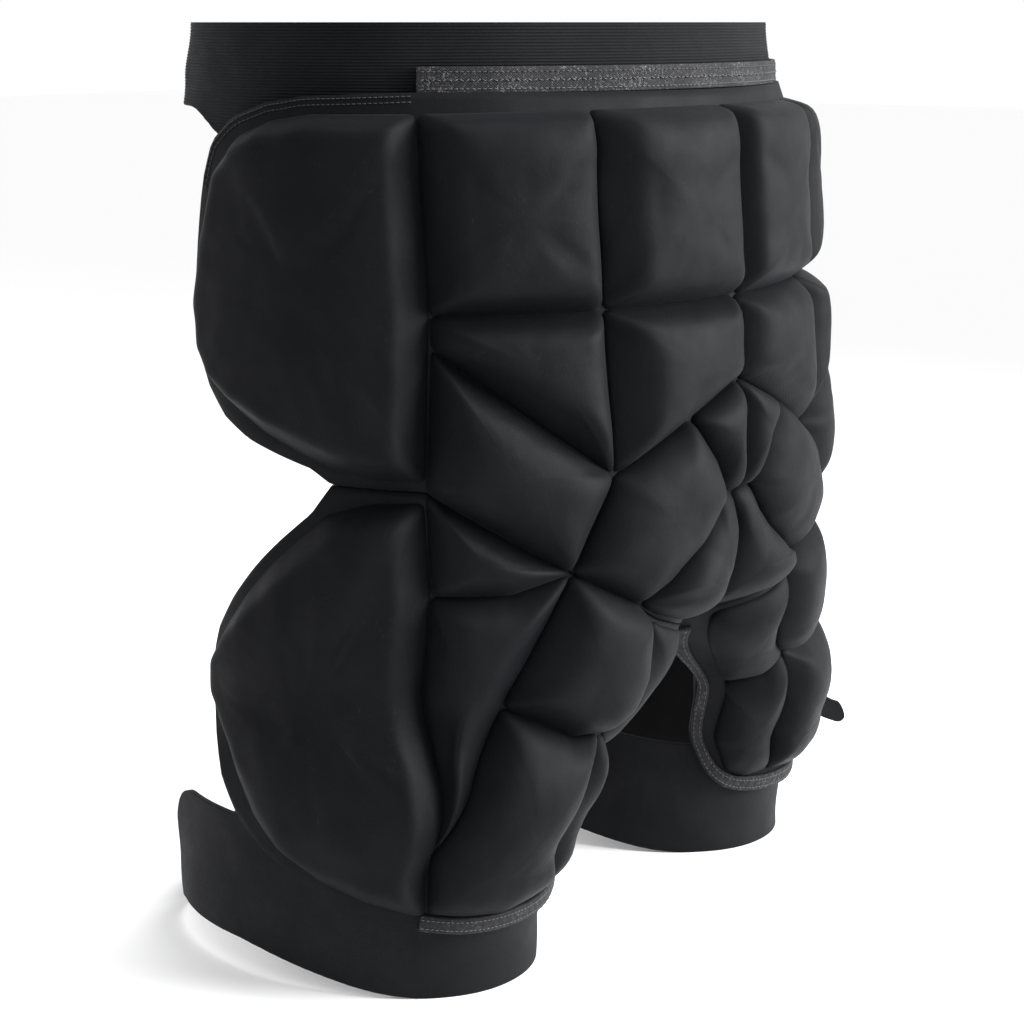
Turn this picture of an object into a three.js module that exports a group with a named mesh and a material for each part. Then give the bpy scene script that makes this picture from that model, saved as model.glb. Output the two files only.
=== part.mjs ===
// Padded impact shorts: an open-fronted foam-pad shell with an elastic waistband and two leg bands.
// Millimetres, +Z up, the wearer faces -Y, +X is the wearer's left, z = 0 under the leg bands.
import * as THREE from "three";
import { mergeVertices } from "three/addons/utils/BufferGeometryUtils.js";

// ---- driving dimensions -------------------------------------------------------------------------
const WAIST_TOP = 404;          // top edge of the waistband
const PANEL_TOP = 376;          // top edge of the padded shell at the back
const CROTCH = 139;             // lowest point of the hip shell, on the centre line
const SHELL_T = 3;              // fabric and foam backing sheet
const PAD_SEAT = 2.0;           // glue line between backing and a pad
const CHANNEL = 1.7;            // clear width at the foot of the channels between pads
const PAD_H = 15;               // height of the rear pads
const SIDE_PAD_H = 16;          // height of the hip and thigh side pads
const BAND_T = 2.4;             // knitted elastic
const BAND_GAP = 1.3;           // band face to the inside of the shell
const LEG_BAND_H = 58;          // height of a leg band
const LEG_STRAP_H = 30;         // height of its narrower strap at the front
const LEG_RISE = 14;            // how much the side of a leg band sits higher than its back and front
const HIP_FRONT = 111.5;        // degrees from the centre back to the free front edge of the hip lobe
const THIGH_IN = 2;             // degrees from the centre back to the inner edge of the thigh lobe
const THIGH_FRONT = 112.5;      // the same for the thigh lobe
const INNER_EDGE = -45;         // degrees round the thigh where the inner edge of a thigh shell lies
const CENTRE_Y = 2.05;          // middle of the whole depth, taken out so the origin is central
const MM_PER_DEG = 2.6;         // flat pattern width of one degree

// Body form. Height, half width, rear depth, front depth of the hips.
const HIPS = [
  [404, 151, 106, 130], [380, 154, 108, 133], [352, 158, 117, 137], [290, 158, 121, 130], [225, 161, 125, 120],
  [150, 160, 126, 117], [90, 158, 118, 110], [0, 156, 112, 104],
];
// Height, centre x, centre y, half width, half depth of one thigh.
const THIGH = [
  [240, 84, 8, 80, 112], [150, 92, 3, 76, 108], [100, 101, 1, 71, 103], [58, 104, -4, 66.5, 94.5],
  [0, 104, -5, 65, 92],
];

// ---- the form surface ---------------------------------------------------------------------------
const rad = (d) => (d * Math.PI) / 180;
const ease = (t) => { const c = Math.min(1, Math.max(0, t)); return c * c * (3 - 2 * c); };

function station(rows, z, k) {
  if (z >= rows[0][0]) return rows[0][k];
  for (let i = 0; i + 1 < rows.length; i++) {
    const [a, b] = [rows[i], rows[i + 1]];
    if (z >= b[0]) return b[k] + (a[k] - b[k]) * ease((z - b[0]) / (a[0] - b[0]));
  }
  return rows[rows.length - 1][k];
}

// A point on the body: angle from the centre back (degrees, left side positive), height.
function body(deg, z) {
  const a = rad(Math.abs(deg));
  const hip = [station(HIPS, z, 1) * Math.sin(a), station(HIPS, z, a <= Math.PI / 2 ? 2 : 3) * Math.cos(a)];
  const l = rad(INNER_EDGE + (Math.abs(deg) / 130) * (130 - INNER_EDGE));
  const leg = [station(THIGH, z, 1) + station(THIGH, z, 3) * Math.sin(l),
    station(THIGH, z, 2) + station(THIGH, z, 4) * Math.cos(l)];
  const side = ease(Math.abs(deg) / 26);               // the inner thigh turns under sooner than the outside
  const wx = ease((143 - 7 * side - z) / (50 + 12 * side));
  const seat = 202 - 62 * side;
  const wy = ease((seat - z) / (seat - 98 + 26 * side));
  const cleft = 6 * Math.exp(-((deg / 6) ** 2)) * ease((216 - z) / 26) * ease((z - 105) / 30);
  const x = hip[0] + (leg[0] - hip[0]) * wx;
  return new THREE.Vector3(deg < 0 ? -x : x, hip[1] + (leg[1] - hip[1]) * wy - cleft, z);
}

// Offset surface used by every piece of the shell.
function form(deg, z, off) {
  const e = 0.4;
  const du = body(deg + e, z).sub(body(deg - e, z));
  const dv = body(deg, z + e).sub(body(deg, z - e));
  const n = du.cross(dv).multiplyScalar(-1).normalize();
  if (Math.abs(deg) < 0.01) n.setX(0).normalize();
  return body(deg, z).addScaledVector(n, off);
}

// A closed ring round one thigh (angle from the back of the thigh, outside positive).
function ring(deg, z, off) {
  const [rx, ry] = [station(THIGH, z, 3), station(THIGH, z, 4)];
  const [s, c] = [Math.sin(rad(deg)), Math.cos(rad(deg))];
  const n = new THREE.Vector3(s / rx, c / ry, 0).normalize();
  return new THREE.Vector3(station(THIGH, z, 1) + rx * s, station(THIGH, z, 2) + ry * c, z).addScaledVector(n, off);
}

// ---- solid builders -----------------------------------------------------------------------------
function solid(points, faces, flip) {
  const geo = new THREE.BufferGeometry();
  geo.setAttribute("position", new THREE.BufferAttribute(new Float32Array(points.flatMap((p) => [p.x, p.y, p.z])), 3));
  geo.setIndex(faces.flatMap(([a, b, c]) => (flip ? [a, c, b] : [a, b, c])));
  const out = mergeVertices(geo, 1e-3);
  out.computeVertexNormals();
  return out;
}

// A sheet of even thickness over a grid; at(u, v) returns the two faces' points, loop closes u.
function sheet(nu, nv, at, loop = false) {
  const points = [];
  const cols = loop ? nu : nu + 1;
  for (let i = 0; i < cols; i++) {
    for (let j = 0; j <= nv; j++) points.push(...at(i / nu, j / nv));
  }
  const id = (i, j, side) => 2 * ((i % cols) * (nv + 1) + j) + side;
  const faces = [];
  const quad = (a, b, c, d) => faces.push([a, b, c], [a, c, d]);
  for (let i = 0; i < nu; i++) {
    for (let j = 0; j < nv; j++) {
      quad(id(i, j, 1), id(i + 1, j, 1), id(i + 1, j + 1, 1), id(i, j + 1, 1));
      quad(id(i, j, 0), id(i, j + 1, 0), id(i + 1, j + 1, 0), id(i + 1, j, 0));
    }
    quad(id(i, 0, 0), id(i + 1, 0, 0), id(i + 1, 0, 1), id(i, 0, 1));
    quad(id(i, nv, 1), id(i + 1, nv, 1), id(i + 1, nv, 0), id(i, nv, 0));
  }
  if (!loop) {
    for (let j = 0; j < nv; j++) {
      quad(id(0, j, 0), id(0, j, 1), id(0, j + 1, 1), id(0, j + 1, 0));
      quad(id(nu, j, 1), id(nu, j, 0), id(nu, j + 1, 0), id(nu, j + 1, 1));
    }
  }
  return solid(points, faces, false);
}

// Corner-rounded closed outline in flat pattern millimetres.
function rounded(corners, radius, step = 16) {
  const flat = corners.map(([deg, z]) => new THREE.Vector2(deg * MM_PER_DEG, z));
  const out = [];
  flat.forEach((p, i) => {
    const prev = flat[(i + flat.length - 1) % flat.length];
    const next = flat[(i + 1) % flat.length];
    const turn = Math.abs(p.clone().sub(prev).normalize().cross(next.clone().sub(p).normalize()));
    const cut = Math.min(radius * Math.min(1, turn + 0.15), 0.42 * p.distanceTo(prev), 0.42 * p.distanceTo(next));
    const a = p.clone().lerp(prev, cut / p.distanceTo(prev));
    const b = p.clone().lerp(next, cut / p.distanceTo(next));
    if (turn < 0.3) out.push(p.clone());
    else out.push(a, a.clone().add(b).multiplyScalar(0.25).addScaledVector(p, 0.5), b);
    const end = next.clone();
    const run = b.distanceTo(end) - radius;
    const n = Math.floor(run / step);
    for (let k = 1; k <= n; k++) out.push(b.clone().lerp(end, (k * run) / ((n + 1) * b.distanceTo(end))));
  });
  return out;
}

// A foam pad filling one cell of the channel net: flat on the backing, sides rising in a soft bevel.
function pad(corners, height, side, radius = 7) {
  const outline = rounded(corners, radius);
  const mid = outline.reduce((s, p) => s.add(p), new THREE.Vector2()).multiplyScalar(1 / outline.length);
  let inner = Infinity;
  outline.forEach((p, i) => {
    const q = outline[(i + 1) % outline.length];
    const e = q.clone().sub(p);
    inner = Math.min(inner, Math.abs(e.cross(mid.clone().sub(p))) / e.length());
  });
  const seat = SHELL_T + PAD_SEAT;
  const bottom = Math.ceil(Math.max(...outline.map((p) => p.distanceTo(mid))) / 15);
  const rings = [];
  for (let k = 1; k <= bottom; k++) rings.push([k / bottom, 0]);
  rings.push([1, 0.8]);
  const foot = 1 - CHANNEL / 2 / inner;
  for (const r of rings) r[0] *= foot;
  for (const [inset, rise] of [[2.4, 0.45], [6.5, 0.8], [12.5, 1]]) {
    rings.push([foot - Math.min(inset / inner, (0.66 * inset) / 12.5), height * rise]);
  }
  const at = (p, h) => {
    const v = form(p.x / MM_PER_DEG, p.y, seat + h);
    return side < 0 ? v.setX(-v.x) : v;
  };
  const points = [at(mid, 0)];
  for (const [s, h] of rings) outline.forEach((p) => points.push(at(mid.clone().lerp(p, s), h)));
  points.push(at(mid, height * 1.04));
  const n = outline.length;
  const faces = [];
  const id = (k, i) => 1 + k * n + (i % n);
  for (let i = 0; i < n; i++) {
    faces.push([0, id(0, i), id(0, i + 1)]);
    for (let k = 0; k + 1 < rings.length; k++) {
      faces.push([id(k, i), id(k + 1, i), id(k + 1, i + 1)], [id(k, i), id(k + 1, i + 1), id(k, i + 1)]);
    }
    faces.push([id(rings.length - 1, i), points.length - 1, id(rings.length - 1, i + 1)]);
  }
  const area = outline.reduce((s, p, i) => s + p.cross(outline[(i + 1) % n]), 0);
  return solid(points, faces, (area > 0) !== (side > 0));
}

// Piecewise height of an edge line at an angle.
function edge(line, deg) {
  const d = Math.abs(deg);
  for (let i = 0; i + 1 < line.length; i++) {
    const [a, b] = [line[i], line[i + 1]];
    if (d <= b[0]) return a[1] + ((b[1] - a[1]) * (d - a[0])) / (b[0] - a[0]);
  }
  return line[line.length - 1][1];
}

const mirrored = (side, v) => (side < 0 ? v.setX(-v.x) : v);
function mirrorFlip(geo, side) {
  if (side > 0) return geo;
  const idx = geo.getIndex();
  for (let i = 0; i < idx.count; i += 3) {
    const b = idx.getX(i + 1);
    idx.setX(i + 1, idx.getX(i + 2));
    idx.setX(i + 2, b);
  }
  geo.computeVertexNormals();
  return geo;
}

// ---- materials and the assembly -----------------------------------------------------------------
const group = new THREE.Group();
group.name = "padded_impact_shorts";
const LOOK = {
  shell: { color: 0x2b2c30, roughness: 0.72 },
  pad: { color: 0x34353a, roughness: 0.62 },
  band: { color: 0x26272b, roughness: 0.85 },
  tape: { color: 0x3c3d42, roughness: 0.8 },
  hook: { color: 0x1c1d20, roughness: 0.95 },
};
function add(name, look, geo) {
  const mesh = new THREE.Mesh(geo.translate(0, -CENTRE_Y, 0), new THREE.MeshStandardMaterial({ ...LOOK[look], name: `${name}_material` }));
  mesh.name = name;
  group.add(mesh);
}

// ---- flat pattern: [degrees from the centre back, height] ----------------------------------------
// Where channels between the pads meet.
const J = {
  topMid: [0, 368.5], topIn: [28.5, 368.5], topOut: [58.3, 368], rowMid: [0, 290], rowIn: [28.5, 290],
  rowOut: [57.6, 290], diag: [57.3, 277], vee: [27, 221.5], petal: [12, 240.5], arch: [0, 254], hub: [0, 205],
  petalFoot: [4, 207], flankA: [9.5, 186], flankB: [17, 171], cross: [34.6, 182], creaseIn: [22.5, 164.5],
  seatA: [19, 158.5], seatB: [13, 153.5], seatC: [6.5, 149.5], seatMid: [0, 146],
  creaseOut: [58.3, 219], wedgeFoot: [58, 176], wedgeMid: [45, 175], taperTip: [61.3, 70], taperMid: [60, 123],
  blockOut: [46.5, 127.5], blockMid: [33, 111], blockIn: [25.5, 110],
};
// The crease between hip shell and thigh shell, from the crotch to the notch at the side.
const CREASE = [[0, CROTCH], [6.5, 146.5], [13, 151], [18.5, 156], [22.5, 163], [34.6, 182.5], [46, 203], [58.3, 219],
  [75, 221]];
const HIP_LOW = [...CREASE, [79, 227], [85.5, 231], [93.5, 236], [100.5, 243], [107, 255], [110.3, 268],
  [HIP_FRONT, 283]];
const HIP_TOP = [[0, PANEL_TOP], [58, PANEL_TOP + 1], [80, 375.5], [89.5, 372.5], [97, 366.5], [102.3, 356.5],
  [105.7, 341], [109.6, 313], [HIP_FRONT, 297]];
const THIGH_TOP = [...CREASE, [79, 209], [86.5, 195], [93.5, 181], [100.5, 166], [107, 150], [111, 136],
  [THIGH_FRONT, 124]];
const THIGH_LOW = [[THIGH_IN, 84], [2.8, 68], [4.4, 55], [7, 45.5], [11, 38.5], [16, 34], [24, 32], [46, 30],
  [58, 32], [69, 36.5], [78.5, 42], [89, 51.5], [97, 61.5], [103.5, 74], [108.5, 88], [111, 101], [THIGH_FRONT, 112]];

// ---- hip body ------------------------------------------------------------------------------------
add("waistband", "band", sheet(56, 5, (u, v) => {
  const deg = 179 - 358 * u;
  const low = 352 + 17 * ease((Math.abs(deg) - 92) / 26);
  const z = low + (WAIST_TOP - low) * v;
  return [form(deg, z, -BAND_GAP - BAND_T), form(deg, z, -BAND_GAP)];
}));
add("rear_seam_tape", "tape", sheet(26, 1, (u, v) => {
  const deg = 58 - 116 * u;
  const z = PANEL_TOP + 1.8 + 8.5 * v;
  return [form(deg, z, -0.5), form(deg, z, 1.1)];
}));
add("hip_shell", "shell", sheet(46, 12, (u, v) => {
  const deg = HIP_FRONT - 2 * HIP_FRONT * u;
  const low = edge(HIP_LOW, deg) + (Math.abs(deg) < 76 ? 0.9 : 0.4);
  const z = low + (edge(HIP_TOP, deg) - low) * v;
  return [form(deg, z, 0), form(deg, z, SHELL_T)];
}));

// Pads of one hip half as cells of the net. The other half is its mirror image.
const HIP_PADS = {
  hip_side: [SIDE_PAD_H, [J.topOut, [78, 368], [87.5, 365], [94.5, 359], [100, 346], [104.2, 318], [107, 291],
    [105.8, 271], [102, 257], [96, 248], [88.5, 240], [81, 233.5], [75, 228], [67, 223.5], [58.3, 223], J.rowOut]],
  rear_outer: [PAD_H, [J.topIn, J.topOut, J.rowOut, J.rowIn]],
  rear_inner: [PAD_H, [J.topMid, J.topIn, J.rowIn, J.rowMid]],
  mid_outer: [PAD_H - 1, [J.rowIn, J.rowOut, J.diag, J.vee]],
  mid_inner: [PAD_H - 1, [J.rowMid, J.rowIn, J.vee, J.petal, J.arch]],
  arch_petal: [PAD_H - 4, [J.arch, J.petal, [7, 224], J.petalFoot, J.hub]],
  diagonal_outer: [PAD_H - 1, [J.diag, J.vee, J.cross, J.creaseOut]],
  diagonal_inner: [PAD_H - 1, [J.vee, J.petal, [7, 224], J.petalFoot, J.flankA, J.flankB, J.creaseIn, J.cross]],
  crotch: [PAD_H - 3, [J.hub, J.petalFoot, J.flankA, J.flankB, J.creaseIn, J.seatA, J.seatB, J.seatC, J.seatMid]],
};
for (const side of [1, -1]) {
  const hand = side > 0 ? "left" : "right";
  for (const [name, [height, corners]] of Object.entries(HIP_PADS)) {
    add(`pad_${name}_${hand}`, "pad", pad(corners, height, side));
  }
}

// ---- thigh bodies --------------------------------------------------------------------------------
const THIGH_PADS = {
  thigh_side: [SIDE_PAD_H, [[58.6, 215], [68, 214], [76, 208.5], [82, 197], [88.5, 184], [95, 170], [101, 156],
    [105.8, 142], [108, 126], [107, 109], [104, 92.5], [99, 77], [92.5, 64], [84, 53.5], [74, 46], [62, 40],
    J.taperTip, J.taperMid, J.wedgeFoot]],
  thigh_wedge: [PAD_H - 3, [J.creaseOut, J.cross, J.wedgeMid, J.wedgeFoot]],
  thigh_taper: [PAD_H - 2, [J.wedgeFoot, J.wedgeMid, J.cross, [40.5, 155], J.blockOut, J.taperTip, J.taperMid]],
  thigh_rear_upper: [PAD_H - 1, [J.cross, J.creaseIn, [20, 157], [20.5, 134], [22, 119], J.blockIn, J.blockMid, J.blockOut,
    [40.5, 155]]],
  thigh_rear_lower: [PAD_H - 1, [J.blockOut, J.blockMid, J.blockIn, [28.5, 78], [27, 42], [44, 38], [54, 39.5],
    [61.5, 42], J.taperTip]],
  thigh_inner_upper: [PAD_H - 6.5, [[6.3, 143.5], [13, 148.5], [18, 153], [20, 157], [20.5, 134], [22, 119],
    J.blockIn, [19, 102], [9, 98], [8.3, 120]]],
  thigh_inner_lower: [PAD_H - 4, [[9, 98], [19, 102], J.blockIn, [28.5, 78], [27, 42], [19, 40.5], [13, 45],
    [9.5, 62]]],
};

// A piece of a leg band: u runs round the thigh, the strap part is narrower and the side sits higher.
function legRing(side, from, to, o0, o1, nu, z0, z1) {
  return mirrorFlip(sheet(nu, 2, (u, v) => {
    const deg = to + (from - to) * u;
    const away = Math.abs(((((deg - 178) % 360) + 540) % 360) - 180);    // degrees from the strap's middle
    const rise = LEG_RISE * ease((142 - away) / 66) * ease((away - 4) / 44);
    const top = LEG_STRAP_H + (LEG_BAND_H - LEG_STRAP_H) * ease((away - 22) / 36);
    const z = rise + z0 + (Math.min(z1, top - z0) - z0) * v;
    return [mirrored(side, ring(deg, z, o0(deg))), mirrored(side, ring(deg, z, o1(deg)))];
  }), side);
}

// A strip of even width lying on the shell along a path of pattern points.
function strip(path, width, o0, o1, side) {
  const line = new THREE.SplineCurve(path.map(([deg, z]) => new THREE.Vector2(deg * MM_PER_DEG, z)))
    .getSpacedPoints(32);
  return mirrorFlip(sheet(line.length - 1, 1, (u, v) => {
    const i = Math.round(u * (line.length - 1));
    const along = line[Math.min(i + 1, line.length - 1)].clone().sub(line[Math.max(i - 1, 0)]).normalize();
    const p = line[i].clone().addScaledVector(new THREE.Vector2(-along.y, along.x), (0.5 - v) * width);
    const at = (off) => mirrored(side, form(p.x / MM_PER_DEG, p.y, off));
    return [at(o0), at(o1)];
  }), side);
}

// Hook-and-loop closures: a tab leaves one band end and lies over the other.
const SLIT = 176;               // where a leg band's two ends meet, degrees round the thigh
const TAB_ROOT = 164;           // where the leg tab leaves the band
const TAB_TIP = 208;
const LOOP_FACE = [-0.8, 0.2];  // offsets of the loop patch, the hook patch and the tab
const HOOK_FACE = [0.6, 1.4];
const TAB_FACE = [1.8, 3.4];
const WAIST_ROOT = 160;
const WAIST_TIP = 201;
const lift = (deg, root, face) => -0.8 + (face + 0.8) * ease((deg - root) / 10);

for (const side of [1, -1]) {
  const hand = side > 0 ? "left" : "right";
  add(`thigh_shell_${hand}`, "shell", mirrorFlip(sheet(30, 13, (u, v) => {
    const deg = THIGH_FRONT - (THIGH_FRONT - THIGH_IN) * (1 - (1 - u) ** 1.5);    // closer rows at the inner edge
    const high = edge(THIGH_TOP, deg) - (deg < 76 ? 0.9 : 1.2);
    const z = edge(THIGH_LOW, deg) + (high - edge(THIGH_LOW, deg)) * v;
    return [mirrored(side, form(deg, z, 0)), mirrored(side, form(deg, z, SHELL_T))];
  }), side));
  for (const [name, [height, corners]] of Object.entries(THIGH_PADS)) {
    add(`pad_${name}_${hand}`, "pad", pad(corners, height, side));
  }
  add(`thigh_binding_${hand}`, "tape", strip([[3.4, 136], [3.4, 120], [3.4, 102], [3.5, 88], [4, 74], [5.4, 61],
    [7.7, 51], [10.8, 43.6], [15, 38.8], [21, 36.4], [28, 35.4], [36, 34.8], [45, 34.6], [54, 35.4], [63, 38]],
    6.5, SHELL_T + 0.9, SHELL_T + 1.8, side));
  add(`leg_band_${hand}`, "band", legRing(side, SLIT - 359, SLIT, () => -BAND_GAP - BAND_T, () => -BAND_GAP, 44,
    0, LEG_BAND_H));
  add(`leg_loop_patch_${hand}`, "hook", legRing(side, SLIT + 5, SLIT + 31, () => LOOP_FACE[0], () => LOOP_FACE[1],
    6, 3, LEG_STRAP_H - 3));
  add(`leg_tab_${hand}`, "band", legRing(side, TAB_ROOT, TAB_TIP, (d) => lift(d, TAB_ROOT, TAB_FACE[0]),
    (d) => lift(d, TAB_ROOT, TAB_FACE[0]) + TAB_FACE[1] - TAB_FACE[0], 14, 2, LEG_STRAP_H - 2));
  add(`leg_hook_patch_${hand}`, "hook", legRing(side, SLIT + 7, TAB_TIP - 2, () => HOOK_FACE[0],
    () => HOOK_FACE[1], 6, 4, LEG_STRAP_H - 4));
}

// The free end of a strap standing out of the channel behind the right thigh's side pad.
add("strap_end_right", "tape", sheet(4, 2, (u, v) => {
  const half = 8 - 5 * u * u;
  const z = 64 - 9 * u + (2 * v - 1) * half;
  const at = (deg) => mirrored(-1, form(deg, z, 13.5 + 15 * u));
  return [at(61.5), at(60.7)];
}));

// ---- waist closure -------------------------------------------------------------------------------
const waistPiece = (from, to, low, high, o0, o1, nu) => sheet(nu, 3, (u, v) => {
  const deg = to + (from - to) * u;
  const z = low + (high - low) * v;
  const at = (off) => (deg > 180 ? mirrored(-1, form(360 - deg, z, off)) : form(deg, z, off));
  return [at(o0(deg)), at(o1(deg))];
});
add("waist_loop_patch", "hook", waistPiece(184, 204, 373, 400, () => LOOP_FACE[0], () => LOOP_FACE[1], 5));
add("waist_tab", "band", waistPiece(WAIST_ROOT, WAIST_TIP, 372, 401, (d) => lift(d, WAIST_ROOT, TAB_FACE[0]),
  (d) => lift(d, WAIST_ROOT, TAB_FACE[0]) + TAB_FACE[1] - TAB_FACE[0], 10));
add("waist_hook_patch", "hook", waistPiece(186, 199.5, 375, 398, () => HOOK_FACE[0], () => HOOK_FACE[1], 4));

export default group;
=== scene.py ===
import math

import bpy
import numpy as np
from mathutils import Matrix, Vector, noise


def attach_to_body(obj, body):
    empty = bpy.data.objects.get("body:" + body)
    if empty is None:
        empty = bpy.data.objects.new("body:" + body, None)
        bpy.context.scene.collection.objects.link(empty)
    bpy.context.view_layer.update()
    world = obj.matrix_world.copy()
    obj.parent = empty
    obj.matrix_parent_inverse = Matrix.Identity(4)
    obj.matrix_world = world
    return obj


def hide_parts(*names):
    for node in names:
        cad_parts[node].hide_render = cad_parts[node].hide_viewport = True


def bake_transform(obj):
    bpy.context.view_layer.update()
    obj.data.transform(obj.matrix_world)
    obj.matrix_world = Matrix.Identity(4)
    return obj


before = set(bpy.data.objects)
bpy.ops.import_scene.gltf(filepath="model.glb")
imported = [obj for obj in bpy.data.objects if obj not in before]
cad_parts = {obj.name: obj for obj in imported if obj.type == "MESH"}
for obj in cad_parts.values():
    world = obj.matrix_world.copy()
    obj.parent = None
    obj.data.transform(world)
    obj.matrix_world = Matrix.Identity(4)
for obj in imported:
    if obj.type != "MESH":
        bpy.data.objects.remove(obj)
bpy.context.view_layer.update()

MM = 0.001
CENTRE_Y = 2.05
MM_PER_DEG = 2.6

# ---- body form, the same stations as the frame (mm) -----------------------------------------------
HIPS = [(404, 151, 106, 130), (380, 154, 108, 133), (352, 158, 117, 137), (290, 158, 121, 130),
        (225, 161, 125, 120), (150, 160, 126, 117), (90, 158, 118, 110), (0, 156, 112, 104)]
THIGH = [(240, 84, 8, 80, 112), (150, 92, 3, 76, 108), (100, 101, 1, 71, 103), (58, 104, -4, 66.5, 94.5),
         (0, 104, -5, 65, 92)]
INNER_EDGE = -45
SHELL_T = 3.0


def ease(t):
    t = np.clip(t, 0, 1)
    return t * t * (3 - 2 * t)


def station(rows, z, k):
    z = np.asarray(z, float)
    out = np.full(z.shape, float(rows[-1][k]))
    for a, b in zip(rows[:-1], rows[1:]):
        inside = z >= b[0]
        upper = b[k] + (a[k] - b[k]) * ease((z - b[0]) / (a[0] - b[0]))
        out = np.where(inside & (z < a[0]), upper, out)
    return np.where(z >= rows[0][0], rows[0][k], out)


def body(deg, z):
    deg, z = np.broadcast_arrays(np.asarray(deg, float), np.asarray(z, float))
    a = np.radians(np.abs(deg))
    depth = np.where(a <= np.pi / 2, station(HIPS, z, 2), station(HIPS, z, 3))
    hx, hy = station(HIPS, z, 1) * np.sin(a), depth * np.cos(a)
    leg = np.radians(INNER_EDGE + np.abs(deg) / 130 * (130 - INNER_EDGE))
    lx = station(THIGH, z, 1) + station(THIGH, z, 3) * np.sin(leg)
    ly = station(THIGH, z, 2) + station(THIGH, z, 4) * np.cos(leg)
    side = ease(np.abs(deg) / 26)
    wx = ease((143 - 7 * side - z) / (50 + 12 * side))
    seat, foot = 202 - 62 * side, 98 - 26 * side
    wy = ease((seat - z) / (seat - foot))
    cleft = 6 * np.exp(-(deg / 6) ** 2) * ease((216 - z) / 26) * ease((z - 105) / 30)
    x = hx + (lx - hx) * wx
    return np.stack([np.where(deg < 0, -x, x), hy + (ly - hy) * wy - cleft, z], -1)


def form(deg, z, off):
    deg, z, off = np.broadcast_arrays(*(np.asarray(v, float) for v in (deg, z, off)))
    e = 0.4
    du = body(deg + e, z) - body(deg - e, z)
    dv = body(deg, z + e) - body(deg, z - e)
    n = -np.cross(du, dv)
    n[np.abs(deg) < 0.01, 0] = 0
    n /= np.linalg.norm(n, axis=-1, keepdims=True)
    return body(deg, z) + n * off[..., None]


def ring(deg, z, off):
    deg, z, off = np.broadcast_arrays(*(np.asarray(v, float) for v in (deg, z, off)))
    rx, ry = station(THIGH, z, 3), station(THIGH, z, 4)
    s, c = np.sin(np.radians(deg)), np.cos(np.radians(deg))
    n = np.stack([s / rx, c / ry, np.zeros_like(s)], -1)
    n /= np.linalg.norm(n, axis=-1, keepdims=True)
    p = np.stack([station(THIGH, z, 1) + rx * s, station(THIGH, z, 2) + ry * c, z], -1)
    return p + n * off[..., None]


def around(deg, z, off):
    """The hip form all the way round: angles past 180 come back up the right side."""
    deg = np.asarray(deg, float)
    p = form(np.where(deg > 180, 360 - deg, deg), z, off)
    p[..., 0] = np.where(np.broadcast_to(deg, p.shape[:-1]) > 180, -p[..., 0], p[..., 0])
    return p


# ---- mesh helpers -----------------------------------------------------------------------------------
def to_frame(p, side=1):
    p = np.array(p, float)
    p[..., 0] *= side
    p[..., 1] -= CENTRE_Y
    return p * MM


def build(name, points, faces, mat, flat=None, side=1, mats=None, smooth=True):
    """A mesh object from points in mm; flat is each point's place on the flat pattern, for the weave."""
    points = to_frame(points, side)
    if side < 0:
        faces = [f[::-1] for f in faces]
    mesh = bpy.data.meshes.new(name)
    mesh.from_pydata(points.tolist(), [], faces)
    mesh.materials.append(mat)
    for m in mats or []:
        mesh.materials.append(m)
    if flat is not None:
        layer = mesh.uv_layers.new(name="flat")
        loops = np.zeros(len(mesh.loops), np.int32)
        mesh.loops.foreach_get("vertex_index", loops)
        layer.data.foreach_set("uv", (np.asarray(flat, float)[loops] * MM).astype(np.float32).ravel())
    mesh.validate()
    if smooth:
        mesh.polygons.foreach_set("use_smooth", [True] * len(mesh.polygons))
    mesh.update()
    obj = bpy.data.objects.new(name, mesh)
    bpy.context.scene.collection.objects.link(obj)
    return obj


def tube(nu, nv, at, loop=False):
    """Faces of a closed cross-section of nv points carried along nu stations; ends are capped."""
    u = np.arange(nu) / (nu if loop else nu - 1)
    v = np.arange(nv) / nv
    uu, vv = np.meshgrid(u, v, indexing="ij")
    points, flat = at(uu, vv)
    points, flat = points.reshape(-1, 3), flat.reshape(-1, 2)
    faces = []
    for i in range(nu if loop else nu - 1):
        a, b = i * nv, ((i + 1) % nu) * nv
        for j in range(nv):
            k = (j + 1) % nv
            faces.append((a + j, b + j, b + k, a + k))
    if not loop:
        faces.append(tuple(range(nv)))
        faces.append(tuple((nu - 1) * nv + j for j in range(nv))[::-1])
    return points, faces, flat


def section(vv, low, high, inner, outer, round_r=0.5, share=0.46):
    """Closed cross-section of a band: v runs up the outer face, over the top, down the inside and round
    the foot. Returns the height (0..1 of low..high) and the offset."""
    v = vv % 1.0
    edge = 0.5 - share
    up = np.clip(v / share, 0, 1)
    top = np.clip((v - share) / edge, 0, 1)
    down = np.clip((v - share - edge) / share, 0, 1)
    foot = np.clip((v - 2 * share - edge) / edge, 0, 1)
    mid, half = (inner + outer) / 2, (outer - inner) / 2
    z = low + (high - low) * (up - down)
    off = np.full_like(v, 0.0) + outer
    on_top = (v > share) & (v <= share + edge)
    off = np.where(on_top, mid + half * np.cos(np.pi * top), off)
    z = z + np.where(on_top, round_r * np.sin(np.pi * top), 0)
    off = np.where((v > share + edge) & (v <= 2 * share + edge), inner, off)
    on_foot = v > 2 * share + edge
    off = np.where(on_foot, mid - half * np.cos(np.pi * foot), off)
    z = z - np.where(on_foot, round_r * np.sin(np.pi * foot), 0)
    return z, off


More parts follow.
